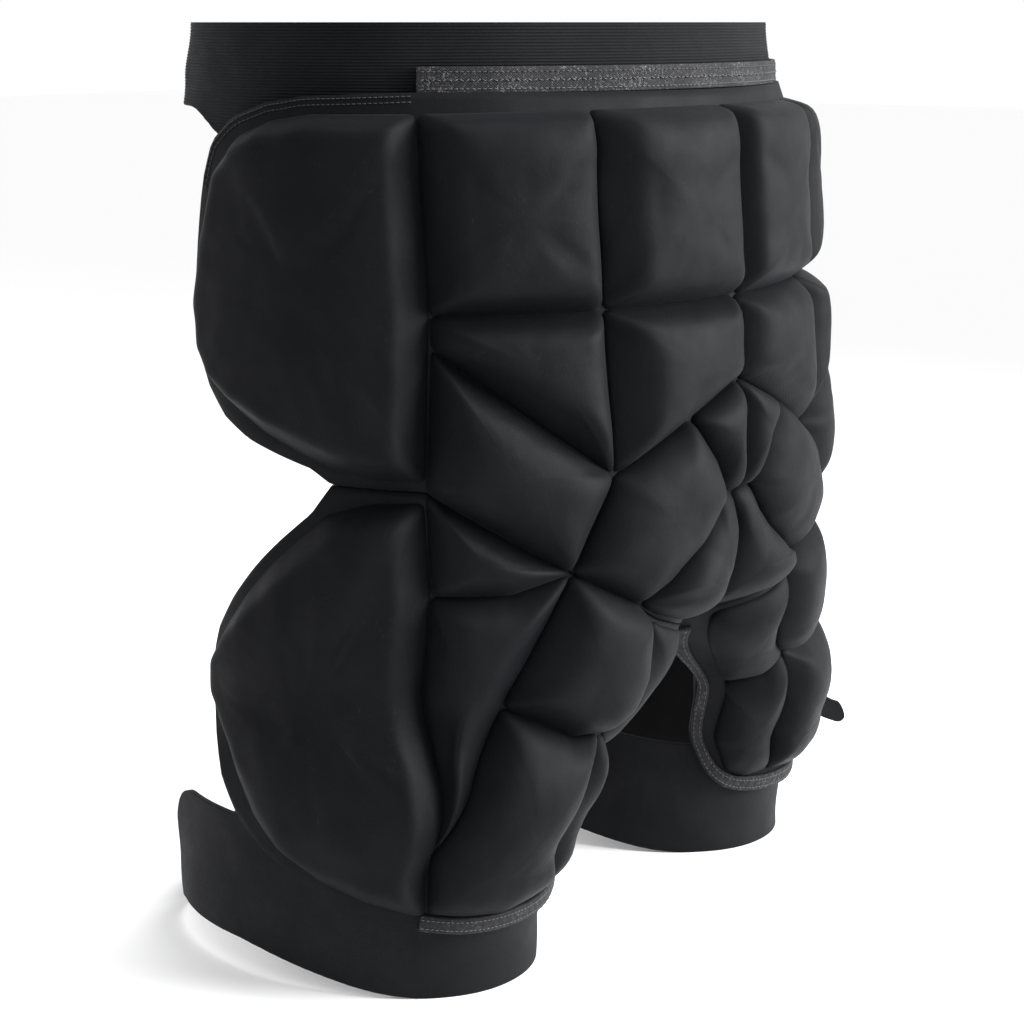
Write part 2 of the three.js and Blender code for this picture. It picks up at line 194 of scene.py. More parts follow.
# ---- materials --------------------------------------------------------------------------------------
def nodes_of(name):
    mat = bpy.data.materials.new(name)
    mat.use_nodes = True
    nt = mat.node_tree
    nt.nodes.clear()
    out = nt.nodes.new("ShaderNodeOutputMaterial")
    bsdf = nt.nodes.new("ShaderNodeBsdfPrincipled")
    nt.links.new(bsdf.outputs[0], out.inputs[0])
    return mat, nt, bsdf


def node(nt, kind, inputs=None, **props):
    n = nt.nodes.new(kind)
    for k, v in props.items():
        setattr(n, k, v)
    for k, v in (inputs or {}).items():
        if isinstance(v, bpy.types.NodeSocket):
            nt.links.new(v, n.inputs[k])
        else:
            n.inputs[k].default_value = v
    return n


def maths(nt, op, a, b=0.0, c=0.0):
    n = node(nt, "ShaderNodeMath", operation=op)
    for i, v in enumerate((a, b, c)):
        if isinstance(v, bpy.types.NodeSocket):
            nt.links.new(v, n.inputs[i])
        else:
            n.inputs[i].default_value = v
    return n.outputs[0]


def mix_colour(nt, fac, a, b):
    n = node(nt, "ShaderNodeMix", data_type="RGBA")
    for k, v in ((0, fac), (6, a), (7, b)):
        if isinstance(v, bpy.types.NodeSocket):
            nt.links.new(v, n.inputs[k])
        else:
            n.inputs[k].default_value = v if k == 0 or len(v) == 4 else (*v, 1)
    return n.outputs[2]


def fabric(name, dark, light, rough, sheen, weave=0.55, bump=0.25, lint=0.0, lint_colour=(0.35, 0.35, 0.37),
           rib=0.0, rib_pitch=1.3, tint=(0.85, 0.88, 1.0), spec=0.5):
    """Dyed cloth: knit rows and columns, mottled dye, worn sheen, and lint caught in it; ribbed elastic also
    gets painted shade in its grooves and painted highlight on its rib crests. Pitches in mm.
    """
    mat, nt, bsdf = nodes_of(name)
    uv = node(nt, "ShaderNodeUVMap", uv_map="flat").outputs[0]
    place = node(nt, "ShaderNodeTexCoord").outputs["Object"]
    part = node(nt, "ShaderNodeSeparateXYZ", {0: uv})
    k = 2 * math.pi / (weave * MM)
    rows = maths(nt, "SINE", maths(nt, "MULTIPLY", part.outputs[1], k))
    cols = maths(nt, "SINE", maths(nt, "MULTIPLY", part.outputs[0], k * 0.8))
    knit = maths(nt, "MULTIPLY", rows, cols)
    fibre = node(nt, "ShaderNodeTexNoise", {"Vector": place, "Scale": 2600.0, "Detail": 2.0}).outputs[0]
    mottle = node(nt, "ShaderNodeTexNoise", {"Vector": place, "Scale": 38.0, "Detail": 5.0,
                                            "Roughness": 0.62}).outputs[0]
    wide = node(nt, "ShaderNodeTexNoise", {"Vector": place, "Scale": 9.0, "Detail": 3.0}).outputs[0]
    height = maths(nt, "ADD", maths(nt, "MULTIPLY", knit, 0.5), maths(nt, "MULTIPLY", fibre, 0.9))
    if rib:
        ribs = maths(nt, "SINE", maths(nt, "MULTIPLY", part.outputs[1], 2 * math.pi / (rib_pitch * MM)))
        height = maths(nt, "ADD", height, maths(nt, "MULTIPLY", ribs, rib))
    blend = maths(nt, "MULTIPLY_ADD", maths(nt, "SUBTRACT", mottle, 0.5), 1.6,
                  maths(nt, "MULTIPLY_ADD", maths(nt, "SUBTRACT", wide, 0.5), 0.9, 0.5))
    blend = node(nt, "ShaderNodeClamp", {0: blend}).outputs[0]
    colour = mix_colour(nt, blend, dark, light)
    thread = node(nt, "ShaderNodeMapRange", {0: knit, 1: -1.0, 2: 1.0, 3: 0.80, 4: 1.15}).outputs[0]
    hsv = node(nt, "ShaderNodeHueSaturation", {"Value": thread, "Color": colour})
    colour = hsv.outputs[0]
    if rib:
        # Painted shade in the grooves between the ribs and painted highlight on their crests, put into the
        # colour.
        painted_rib_shade = node(nt, "ShaderNodeMapRange", {0: ribs, 1: -1.0, 2: 1.0, 3: 0.62, 4: 1.18}).outputs[0]
        colour = node(nt, "ShaderNodeHueSaturation", {"Value": painted_rib_shade, "Color": colour}).outputs[0]
    if lint:
        fluff = node(nt, "ShaderNodeTexNoise", {"Vector": place, "Scale": 900.0, "Detail": 3.0,
                                               "Roughness": 0.7}).outputs[0]
        patch = node(nt, "ShaderNodeTexNoise", {"Vector": place, "Scale": 60.0, "Detail": 2.0}).outputs[0]
        fluff = maths(nt, "MULTIPLY_ADD", maths(nt, "SUBTRACT", patch, 0.5), 0.22, fluff)
        spots = node(nt, "ShaderNodeMapRange", {0: fluff, 1: 0.63 - 0.12 * lint, 2: 0.80 - 0.12 * lint,
                                               3: 0.0, 4: min(1.0, 0.35 + lint)}).outputs[0]
        colour = mix_colour(nt, spots, colour, lint_colour)
    nt.links.new(colour, bsdf.inputs["Base Color"])
    worn = node(nt, "ShaderNodeMapRange", {0: mottle, 1: 0.3, 2: 0.75,
                                          3: rough + 0.07, 4: rough - 0.07}).outputs[0]
    nt.links.new(worn, bsdf.inputs["Roughness"])
    bsdf.inputs["Specular IOR Level"].default_value = spec
    bsdf.inputs["Sheen Weight"].default_value = sheen
    bsdf.inputs["Sheen Roughness"].default_value = 0.35
    bsdf.inputs["Sheen Tint"].default_value = (*tint, 1)
    b = node(nt, "ShaderNodeBump", {"Height": height, "Strength": bump, "Distance": 0.0004})
    soft = node(nt, "ShaderNodeBump", {"Height": mottle, "Strength": 0.35, "Distance": 0.0012,
                                      "Normal": b.outputs[0]})
    nt.links.new(soft.outputs[0], bsdf.inputs["Normal"])
    return mat


SATIN = fabric("stretch_satin", (0.0022, 0.0024, 0.0031), (0.0042, 0.0045, 0.0056), 0.56, 0.02, lint=0.04,
               lint_colour=(0.03, 0.03, 0.033), spec=0.07)
LINING = fabric("mesh_lining", (0.0024, 0.0026, 0.0032), (0.0044, 0.0047, 0.0055), 0.75, 0.02, weave=1.4,
                bump=0.6, spec=0.1)
ELASTIC = fabric("ribbed_elastic", (0.0034, 0.0037, 0.0046), (0.0060, 0.0064, 0.0076), 0.65, 0.03, rib=1.0,
                 rib_pitch=1.25, bump=0.5, spec=0.08)
KNIT = fabric("plain_elastic", (0.0024, 0.0026, 0.0033), (0.0044, 0.0047, 0.0056), 0.68, 0.04, weave=0.8,
              bump=0.35, spec=0.12)
TAPE = fabric("binding_tape", (0.008, 0.0083, 0.0093), (0.018, 0.018, 0.0195), 0.7, 0.06, weave=0.9, bump=0.6,
              lint=0.5, lint_colour=(0.10, 0.10, 0.104), spec=0.12)
SEAM = fabric("cover_seam", (0.010, 0.0103, 0.0112), (0.022, 0.022, 0.0235), 0.7, 0.06, weave=1.0, bump=0.7,
              lint=0.7, lint_colour=(0.12, 0.12, 0.123), spec=0.12)
THREAD = fabric("thread", (0.035, 0.035, 0.037), (0.075, 0.075, 0.077), 0.55, 0.06, weave=0.3, bump=0.3)
DARK_THREAD = fabric("dark_thread", (0.012, 0.0115, 0.0112), (0.024, 0.0225, 0.021), 0.6, 0.06,
                     weave=0.3, bump=0.3)
LOOP = fabric("loop_face", (0.004, 0.004, 0.0046), (0.008, 0.008, 0.0088), 0.9, 0.15, weave=0.7, bump=1.0,
              spec=0.1)
HOOK = fabric("hook_face", (0.003, 0.003, 0.0036), (0.006, 0.006, 0.0066), 0.6, 0.05, weave=1.1, bump=1.0,
              spec=0.2)

# ---- flat pattern ------------------------------------------------------------------------------------
J = dict(
    topMid=(0, 368.5), topIn=(28.5, 368.5), topOut=(58.3, 368), rowMid=(0, 290), rowIn=(28.5, 290),
    rowOut=(57.6, 290), diag=(57.3, 277), vee=(27, 221.5), petal=(12, 240.5), arch=(0, 254), hub=(0, 205),
    petalFoot=(4, 207), flankA=(9.5, 186), flankB=(17, 171), cross=(34.6, 182), creaseIn=(22.5, 164.5),
    seatA=(19, 158.5), seatB=(13, 153.5), seatC=(6.5, 149.5), seatMid=(0, 146),
    creaseOut=(58.3, 219), wedgeFoot=(58, 176), wedgeMid=(45, 175), taperTip=(61.3, 70), taperMid=(60, 123),
    blockOut=(46.5, 127.5), blockMid=(33, 111), blockIn=(25.5, 110))
CREASE = [(0, 139), (6.5, 146.5), (13, 151), (18.5, 156), (22.5, 163), (34.6, 182.5), (46, 203),
          (58.3, 219), (75, 221)]
HIP_FRONT, THIGH_IN, THIGH_FRONT, PANEL_TOP = 111.5, 2.0, 112.5, 376
HIP_LOW = CREASE + [(79, 227), (85.5, 231), (93.5, 236), (100.5, 243), (107, 255),
                    (110.3, 268), (HIP_FRONT, 283)]
HIP_TOP = [(0, PANEL_TOP), (58, PANEL_TOP + 1), (80, 375.5), (89.5, 372.5), (97, 366.5), (102.3, 356.5),
           (105.7, 341), (109.6, 313), (HIP_FRONT, 297)]
THIGH_TOP = CREASE + [(79, 209), (86.5, 195), (93.5, 181), (100.5, 166), (107, 150),
                      (111, 136), (THIGH_FRONT, 124)]
THIGH_LOW = [(THIGH_IN, 84), (2.8, 68), (4.4, 55), (7, 45.5), (11, 38.5), (16, 34), (24, 32), (46, 30),
             (58, 32), (69, 36.5), (78.5, 42), (89, 51.5), (97, 61.5), (103.5, 74), (108.5, 88), (111, 101),
             (THIGH_FRONT, 112)]


def j(*names):
    return [J[n] if isinstance(n, str) else n for n in names]


HIP_PADS = {
    "hip_side": (16, j("topOut", (78, 368), (87.5, 365), (94.5, 359), (100, 346), (104.2, 318), (107, 291),
                       (105.8, 271), (102, 257), (96, 248), (88.5, 240), (81, 233.5), (75, 228), (67, 223.5),
                       (58.3, 223), "rowOut")),
    "rear_outer": (15, j("topIn", "topOut", "rowOut", "rowIn")),
    "rear_inner": (15, j("topMid", "topIn", "rowIn", "rowMid")),
    "mid_outer": (14, j("rowIn", "rowOut", "diag", "vee")),
    "mid_inner": (14, j("rowMid", "rowIn", "vee", "petal", "arch")),
    "arch_petal": (11, j("arch", "petal", (7, 224), "petalFoot", "hub")),
    "diagonal_outer": (14, j("diag", "vee", "cross", "creaseOut")),
    "diagonal_inner": (14, j("vee", "petal", (7, 224), "petalFoot", "flankA", "flankB", "creaseIn", "cross")),
    "crotch": (12, j("hub", "petalFoot", "flankA", "flankB", "creaseIn", "seatA", "seatB", "seatC",
                     "seatMid")),
}
THIGH_PADS = {
    "thigh_side": (16, j((58.6, 215), (68, 214), (76, 208.5), (82, 197), (88.5, 184), (95, 170), (101, 156),
                         (105.8, 142), (108, 126), (107, 109), (104, 92.5), (99, 77), (92.5, 64), (84, 53.5),
                         (74, 46), (62, 40), "taperTip", "taperMid", "wedgeFoot")),
    "thigh_wedge": (12, j("creaseOut", "cross", "wedgeMid", "wedgeFoot")),
    "thigh_taper": (13, j("wedgeFoot", "wedgeMid", "cross", (40.5, 155), "blockOut", "taperTip", "taperMid")),
    "thigh_rear_upper": (14, j("cross", "creaseIn", (20, 157), (20.5, 134), (22, 119), "blockIn", "blockMid",
                               "blockOut", (40.5, 155))),
    "thigh_rear_lower": (14, j("blockOut", "blockMid", "blockIn", (28.5, 78), (27, 42), (44, 38), (54, 39.5),
                               (61.5, 42), "taperTip")),
    "thigh_inner_upper": (8.5, j((6.3, 143.5), (13, 148.5), (18, 153), (20, 157), (20.5, 134), (22, 119),
                                 "blockIn", (19, 102), (9, 98), (8.3, 120))),
    "thigh_inner_lower": (11, j((9, 98), (19, 102), "blockIn", (28.5, 78), (27, 42), (19, 40.5), (13, 45),
                                (9.5, 62))),
}


def edge_at(line, deg):
    xs, ys = zip(*line)
    return np.interp(np.abs(deg), xs, ys)


# ---- padded cells ------------------------------------------------------------------------------------
# Width of the bevel on each side of a pad, by the way that side faces on the flat pattern (mm).
BEVEL_OUT, BEVEL_IN, BEVEL_UP, BEVEL_DOWN = 17.0, 8.5, 8.0, 9.5
SIDE_IN = 14.0                     # rear bevel of the side pads


def outline_of(corners, step, radius=5.0):
    """Rounded closed outline, evenly spaced, counter-clockwise on the flat pattern."""
    p = np.array([(d * MM_PER_DEG, z) for d, z in corners], float)
    area = np.sum(p[:, 0] * np.roll(p[:, 1], -1) - np.roll(p[:, 0], -1) * p[:, 1])
    if area < 0:
        p = p[::-1]
    pts = []
    n = len(p)
    for i in range(n):
        a, b, c = p[i - 1], p[i], p[(i + 1) % n]
        la, lc = np.linalg.norm(a - b), np.linalg.norm(c - b)
        ua, uc = (a - b) / la, (c - b) / lc
        turn = abs(ua[0] * uc[1] - ua[1] * uc[0])
        cut = min(radius * min(1, turn + 0.25), 0.45 * la, 0.45 * lc)
        s, e = b + ua * cut, b + uc * cut
        for t in np.linspace(0, 1, 5):
            pts.append((1 - t) ** 2 * s + 2 * t * (1 - t) * b + t * t * e)
    pts = np.array(pts)
    keep = np.linalg.norm(pts - np.roll(pts, 1, 0), axis=1) > 1e-6
    pts = pts[keep]
    seg = np.linalg.norm(np.roll(pts, -1, 0) - pts, axis=1)
    cum = np.concatenate([[0], np.cumsum(seg)])
    m = max(24, int(round(cum[-1] / step)))
    closed = np.vstack([pts, pts[:1]])
    s = np.arange(m) / m * cum[-1]
    return np.stack([np.interp(s, cum, closed[:, k]) for k in (0, 1)], -1)


def cushion(q, rim, height, soft, inward):
    """Height of a padded cell over each flat point q. soft 0 is a foam block with bevels and a nearly flat
    face; soft 1 is a round bolster."""
    a, b = rim, np.roll(rim, -1, 0)
    d = b - a
    length = np.linalg.norm(d, axis=1)
    out = np.stack([d[:, 1], -d[:, 0]], -1) / length[:, None]
    width = (BEVEL_OUT * np.clip(out[:, 0], 0, 1) ** 2 + inward * np.clip(-out[:, 0], 0, 1) ** 2
             + BEVEL_UP * np.clip(out[:, 1], 0, 1) ** 2 + BEVEL_DOWN * np.clip(-out[:, 1], 0, 1) ** 2)
    t = np.clip(np.einsum("pik,ik->pi", q[:, None] - a[None], d) / length ** 2, 0, 1)
    near = a[None] + t[..., None] * d[None]
    dist = np.linalg.norm(q[:, None] - near, axis=-1)
    s = (dist / width[None]).min(1)
    s = s * min(max(1.0, 1.15 / max(s.max(), 1e-6)), 1.9)
    plateau = 0.90 + 0.10 * (1 - (1 - np.clip(s / max(s.max(), 1.2), 0, 1)) ** 2)
    k = 0.16 + 0.2 * soft
    h = np.clip(0.5 + 0.5 * (plateau - 1.12 * s) / k, 0, 1)
    block = plateau * (1 - h) + 1.12 * s * h - k * h * (1 - h)
    round_s = dist.min(1)
    round_s = round_s / round_s.max()
    bolster = (1 - (1 - np.clip(round_s, 0, 1)) ** 2.3) ** 0.72
    return height * (block * (1 - soft) + bolster * soft)


def relax(h, n, rings, times):
    """Stretch cloth bridges small hollows: smooth the heights across neighbouring rings and round each."""
    grid = np.vstack([np.full(n, h[0]), h[1:].reshape(rings, n)])
    for _ in range(times):
        inner = 0.5 * grid[1:-1] + 0.25 * (grid[2:] + grid[:-2])
        grid[1:-1] = 0.6 * inner + 0.2 * (np.roll(inner, 1, 1) + np.roll(inner, -1, 1))
        grid[0] = grid[1].mean()
    return np.concatenate([grid[0, :1], grid[1:].ravel()])


LAYOUT = {}                        # points round and rings of each cover


def pad(name, corners, height, side, soft=0.0, step=2.4, radius=3.5):
    rim = outline_of(corners, step, radius)
    mid = rim.mean(0)
    reach = np.linalg.norm(rim - mid, axis=1).mean()
    rings = max(9, int(reach / 2.4))
    share = 1 - (np.arange(rings + 1) / rings) ** 1.25
    share = share[::-1]                                   # 0 at the middle, 1 at the rim
    n = len(rim)
    flat = [mid[None]] + [mid + (rim - mid) * s for s in share[1:]]
    q = np.concatenate(flat)
    h = cushion(q, rim, height, soft, SIDE_IN if "_side_" in name else BEVEL_IN)
    h = relax(h, n, rings, 1 + round(5 * soft))
    wob = np.array([noise.noise(Vector((x * 0.055 + 7.3 * side, z * 0.055, height))) for x, z in q])
    fine = np.array([noise.noise(Vector((x * 0.16, z * 0.16, 3.1 * side + height))) for x, z in q])
    h = h + (0.55 * wob + 0.16 * fine) * np.clip(h / height, 0, 1)
    top = form(q[:, 0] / MM_PER_DEG, q[:, 1], SHELL_T + 0.25 + h)
    under = form(rim[:, 0] / MM_PER_DEG, rim[:, 1], SHELL_T + 0.05)
    halfway = mid + (rim - mid) * 0.5
    inner = form(halfway[:, 0] / MM_PER_DEG, halfway[:, 1], SHELL_T + 0.05)
    centre = form(mid[None, 0] / MM_PER_DEG, mid[None, 1], SHELL_T + 0.05)
    points = np.concatenate([top, under, inner, centre])
    faces = []

    def ring0(r):
        return 1 + (r - 1) * n

    for i in range(n):
        k = (i + 1) % n
        faces.append((0, ring0(1) + k, ring0(1) + i))
        for r in range(1, rings):
            a, b = ring0(r), ring0(r + 1)
            faces.append((a + i, a + k, b + k, b + i))
        u, v, w = 1 + (rings - 1) * n, len(top), len(top) + n
        faces.append((u + i, u + k, v + k, v + i))
        faces.append((v + i, v + k, w + k, w + i))
        faces.append((w + i, w + k, len(points) - 1))
    pattern = np.concatenate([q, rim, halfway, mid[None]])
    obj = build(name, points, faces, SATIN, pattern, side)
    LAYOUT[name] = (n, rings)
    held = obj.vertex_groups.new(name="sewn")
    held.add(list(range(1 + (rings - 1) * n, len(points))), 1.0, "REPLACE")
    return obj


CLOTH_STEPS = 14                   # frames of the simulation
SWELL = 0.0030                     # how far a point of a cover may move, metres


def coords(mesh):
    co = np.empty(len(mesh.vertices) * 3)
    mesh.vertices.foreach_get("co", co)
    return co.reshape(-1, 3)


def stuff(covers):
    """Blow the covers up like stuffed cushions: cloth pinned at its sewn rim, a little looser than its
    pattern. The movement is limited, and smoothed most at the middle, where the rings' points crowd."""
    stage = bpy.context.scene
    for obj in covers:
        cloth = obj.modifiers.new("stuffing", "CLOTH")
        cs = cloth.settings
        cs.quality, cs.mass = 5, 0.25
        cs.tension_stiffness = cs.compression_stiffness = cs.shear_stiffness = 14
        cs.bending_stiffness = 0.35
        cs.shrink_min = -0.012
        cs.use_pressure, cs.uniform_pressure_force = True, 4.0
        cs.vertex_group_mass, cs.pin_stiffness = "sewn", 1.0
        cs.effector_weights.gravity = 0.0
        cloth.collision_settings.use_collision = False
        cloth.point_cache.frame_start, cloth.point_cache.frame_end = 1, CLOTH_STEPS
    for step in range(1, CLOTH_STEPS + 1):
        stage.frame_set(step)
    graph = bpy.context.evaluated_depsgraph_get()
    found = [coords(obj.evaluated_get(graph).data) for obj in covers]
    for obj, after in zip(covers, found):
        before = coords(obj.data)
        move = after - before
        size = np.linalg.norm(move, axis=1, keepdims=True)
        move = np.nan_to_num(move * SWELL / (SWELL + size))
        n, rings = LAYOUT[obj.name]
        grid = move[1:1 + rings * n].reshape(rings, n, 3)
        for _ in range(6):
            grid[0] = grid[1].mean(0)
            inner = 0.5 * grid[1:-1] + 0.25 * (grid[2:] + grid[:-2])
            grid[1:-1] = 0.5 * inner + 0.25 * (np.roll(inner, 1, 1) + np.roll(inner, -1, 1))
        calm = min(6, rings - 2)
        for r in range(calm):
            keep = (r / calm) ** 1.5
            grid[r] = keep * grid[r] + (1 - keep) * grid[r].mean(0)
        move[0] = grid[0].mean(0)
        obj.modifiers.clear()
        obj.data.vertices.foreach_set("co", (before + move).ravel())
        obj.data.update()
    stage.frame_set(1)


# Fabric that crosses the crease rides no body: its placement is baked into its points.
def follow_thigh(obj):
    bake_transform(obj)


def attach(obj, rides=None, cad=None):
    """Put a piece on one body, or else leave it where it lies across the crease; hide the part it stands for.
    """
    if rides:
        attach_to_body(obj, rides)
    else:
        follow_thigh(obj)
    if cad:
        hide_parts(cad)


SIDES = ((1, "left"), (-1, "right"))
# How round each cell is (0 block, 1 bolster) and how much prouder than its foam the cover stands (mm).
SHAPE = dict(hip_side=(0.05, 0), rear_outer=(0.12, 0), rear_inner=(0.12, 0), mid_outer=(0.3, 2),
             mid_inner=(0.3, 1), arch_petal=(1, 1), diagonal_outer=(0.55, 2.5),
             diagonal_inner=(0.8, 2.5), crotch=(1, 2), thigh_side=(0.15, 0), thigh_wedge=(0.35, 1),
             thigh_taper=(0.5, 0), thigh_rear_upper=(0.45, 2), thigh_rear_lower=(0.55, 1),
             thigh_inner_upper=(0.8, 0), thigh_inner_lower=(0.8, 1))
# How much prouder some cells stand on one hand only (mm).
HAND_FIT = dict(thigh_inner_upper_left=-3, rear_outer_right=-1.5, mid_outer_right=1.5, diagonal_outer_right=2,
                thigh_wedge_right=-2, thigh_taper_right=-2)
covers = []
for side, hand in SIDES:
    for key, (height, corners) in {**HIP_PADS, **THIGH_PADS}.items():
        soft, extra = SHAPE[key]
        extra += HAND_FIT.get(f"{key}_{hand}", 0) - (0 if "side" in key else 1.0)
        covers.append((pad(f"cover_{key}_{hand}", corners, height + extra, side, soft), key, side, hand))
stuff([c[0] for c in covers])
for o, key, side, hand in covers:
    o.vertex_groups.clear()
    if key in HIP_PADS:
        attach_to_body(o, "hip")
    elif key in ("thigh_rear_lower", "thigh_inner_lower"):
        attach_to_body(o, f"thigh_{hand}")
    else:
        follow_thigh(o)
    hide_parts(f"pad_{key}_{hand}")


# ---- shells, bands and tapes --------------------------------------------------------------------------
# Offsets of each layer from the body form, inner face then outer face (mm).
BAND_FACE, LOOP_FACE, HOOK_FACE = (-3.7, -1.3), (-0.8, 0.2), (0.6, 1.4)
TAB_INNER, TAB_THICK = 1.8, 1.6
WAIST_ROOT, WAIST_TIP, WAIST_TOP, WAIST_FOOT = 160, 201, 403.4, 352
TAB_ROOT, TAB_TIP, LEG_SLIT = 164, 208, 178
LEG_BAND_H, LEG_STRAP_H, LEG_RISE = 58, 30, 14
WAIST_RIB, LEG_RIB = 1.25, 1.1                 # pitch of the ribs in the elastic
CREASE_GAP = 1.8


def shell_points(low_line, high_line, front, back, power=1.0):
    def at(uu, vv):
        share = 1 - (1 - uu) ** power
        deg = front - (front - back) * share
        low, high = edge_at(low_line, deg), edge_at(high_line, deg)
        z, off = section(vv, 0, 1, 0.0, SHELL_T - 0.02, round_r=0.0)
        room = np.maximum(high - low, 4.0)
        mid = (high + low) / 2
        tip = np.sqrt(np.clip(1 - (np.abs(off - SHELL_T / 2) / (SHELL_T / 2 + 0.01)) ** 2, 0, 1)) * 0.9
        edge = np.sign(z - 0.5) * tip * (np.abs(z - 0.5) > 0.49)
        zz = mid + (z - 0.5) * (room - CREASE_GAP) + edge
        return form(deg, zz, off), np.stack([deg * MM_PER_DEG, zz], -1)
    return at


t = tube(181, 64, shell_points(HIP_LOW, HIP_TOP, HIP_FRONT, -HIP_FRONT))
o = build("shell_hip", t[0], t[1], SATIN, t[2])
attach(o, "hip", "hip_shell")
for side, hand in SIDES:
    t = tube(121, 64, shell_points(THIGH_LOW, THIGH_TOP, THIGH_FRONT, THIGH_IN, 1.5))
    o = build(f"shell_thigh_{hand}", t[0], t[1], SATIN, t[2], side)
    attach(o, cad=f"thigh_shell_{hand}")


def waist_at(uu, vv):
    deg = 179.2 - 358.4 * uu
    low = WAIST_FOOT + 17 * ease((np.abs(deg) - 92) / 26)
    z, off = section(vv, 0, 1, *BAND_FACE, round_r=0.0, share=0.48)
    zz = low + 0.5 + (WAIST_TOP - low) * z
    rib = 0.16 * np.sin(2 * np.pi * zz / WAIST_RIB) * (off > -2)
    pull = 0.35 * np.sin(deg * 0.33) * np.sin(zz * 0.21)
    return form(deg, zz, off + rib + pull * 0.4), np.stack([deg * MM_PER_DEG, zz], -1)


t = tube(361, 300, waist_at)
o = build("elastic_waistband", t[0], t[1], ELASTIC, t[2])
attach(o, "hip", "waistband")


def leg_piece(start, stop, inner, outer, z0, z1, nu, nv, wave=0.0):
    """inner and outer are functions of the angle round the thigh."""
    def at(uu, vv):
        deg = stop + (start - stop) * uu
        away = np.abs(((((deg - LEG_SLIT) % 360) + 540) % 360) - 180)
        rise = LEG_RISE * ease((142 - away) / 66) * ease((away - 4) / 44)
        top = LEG_STRAP_H + (LEG_BAND_H - LEG_STRAP_H) * ease((away - 22) / 36)
        zn, on = section(vv, 0, 1, 0.0, 1.0, round_r=0.0, share=0.48)
        zz = rise + z0 + 0.3 + (np.minimum(z1, top - z0) - z0 - 0.6) * zn
        off = inner(deg) + (outer(deg) - inner(deg)) * on
        off = off + wave * np.sin(zz * 0.23 + deg * 0.11) * np.sin(deg * 0.05)
        off = off + 0.10 * np.sin(2 * np.pi * zz / LEG_RIB) * (on > 0.9)
        return ring(deg, zz, off), np.stack([deg * 1.4, zz], -1)
    return tube(nu, nv, at)


def lift(deg, root, face):
    """A tab's face: it lies in the loop patch's plane at its root and rises over the other band end."""
    return LOOP_FACE[0] + (face - LOOP_FACE[0]) * ease((deg - root) / 10)


def const(v):
    return lambda deg: np.full(np.shape(deg), float(v))


def tab_faces(root):
    return (lambda d: lift(d, root, TAB_INNER)), (lambda d: lift(d, root, TAB_INNER) + TAB_THICK)


def flat_faces(pair):
    return const(pair[0]), const(pair[1])


for side, hand in SIDES:
    thigh, closure = f"thigh_{hand}", f"leg_closure_{hand}"
    t = leg_piece(176 - 359, 176, *flat_faces(BAND_FACE), 0, LEG_BAND_H, 241, 220, wave=0.25)
    attach(build(f"elastic_leg_{hand}", t[0], t[1], KNIT, t[2], side), thigh,
           f"leg_band_{hand}")
    t = leg_piece(181, 207, *flat_faces(LOOP_FACE), 3, 27, 31, 60)
    attach(build(f"loop_leg_{hand}", t[0], t[1], LOOP, t[2], side), thigh,
           f"leg_loop_patch_{hand}")
    t = leg_piece(TAB_ROOT, TAB_TIP, *tab_faces(TAB_ROOT), 2, 28, 61, 90)
    attach(build(f"tab_leg_{hand}", t[0], t[1], KNIT, t[2], side), closure, f"leg_tab_{hand}")
    t = leg_piece(183, 206, *flat_faces(HOOK_FACE), 4, 26, 31, 60)
    attach(build(f"hook_leg_{hand}", t[0], t[1], HOOK, t[2], side), closure,
           f"leg_hook_patch_{hand}")


def waist_piece(start, stop, low, high, inner, outer, nu, nv):
    def at(uu, vv):
        deg = stop + (start - stop) * uu
        zn, on = section(vv, 0, 1, 0.0, 1.0, round_r=0.0, share=0.48)
        zz = low + (high - low) * zn
        rib = 0.12 * np.sin(2 * np.pi * zz / WAIST_RIB) * (on > 0.9)
        off = inner(deg) + (outer(deg) - inner(deg)) * on + rib
        return around(deg, zz, off), np.stack([deg * MM_PER_DEG, zz], -1)
    return tube(nu, nv, at)


for name, mat, cad, slot, ride, args in (
        ("loop_waist", LOOP, "waist_loop_patch", "hook_and_loop", "hip",
         (184, 204, 373, 400, *flat_faces(LOOP_FACE), 25, 60)),
        ("tab_waist", ELASTIC, "waist_tab", "elastic_band", "waist_closure",
         (WAIST_ROOT, WAIST_TIP, 372, 401, *tab_faces(WAIST_ROOT), 61, 140)),
        ("hook_waist", HOOK, "waist_hook_patch", "hook_and_loop", "waist_closure",
         (186, 199.5, 375, 398, *flat_faces(HOOK_FACE), 25, 60))):
    t = waist_piece(*args)
    attach(build(name, t[0], t[1], mat, t[2]), ride, cad)


def seam_at(uu, vv):
    deg = 58 - 116 * uu
    zn, on = section(vv, 0, 1, 0.0, 1.0, round_r=0.0, share=0.44)
    zz = PANEL_TOP + 0.6 + 10.2 * zn
    wave = 0.18 * np.sin(deg * 7.1) + 0.12 * np.sin(deg * 17.3 + zz)
    return form(deg, zz, -0.5 + 1.8 * on + wave * on), np.stack([deg * MM_PER_DEG, zz], -1)


t = tube(301, 40, seam_at)
o = build("cover_seam_rear", t[0], t[1], SEAM, t[2])
attach(o, "hip", "rear_seam_tape")

BIND = [(3.4, 136), (3.4, 120), (3.4, 102), (3.5, 88), (4, 74), (5.4, 61), (7.7, 51), (10.8, 43.6),
        (15, 38.8), (21, 36.4), (28, 35.4), (36, 34.8), (45, 34.6), (54, 35.4), (63, 38)]


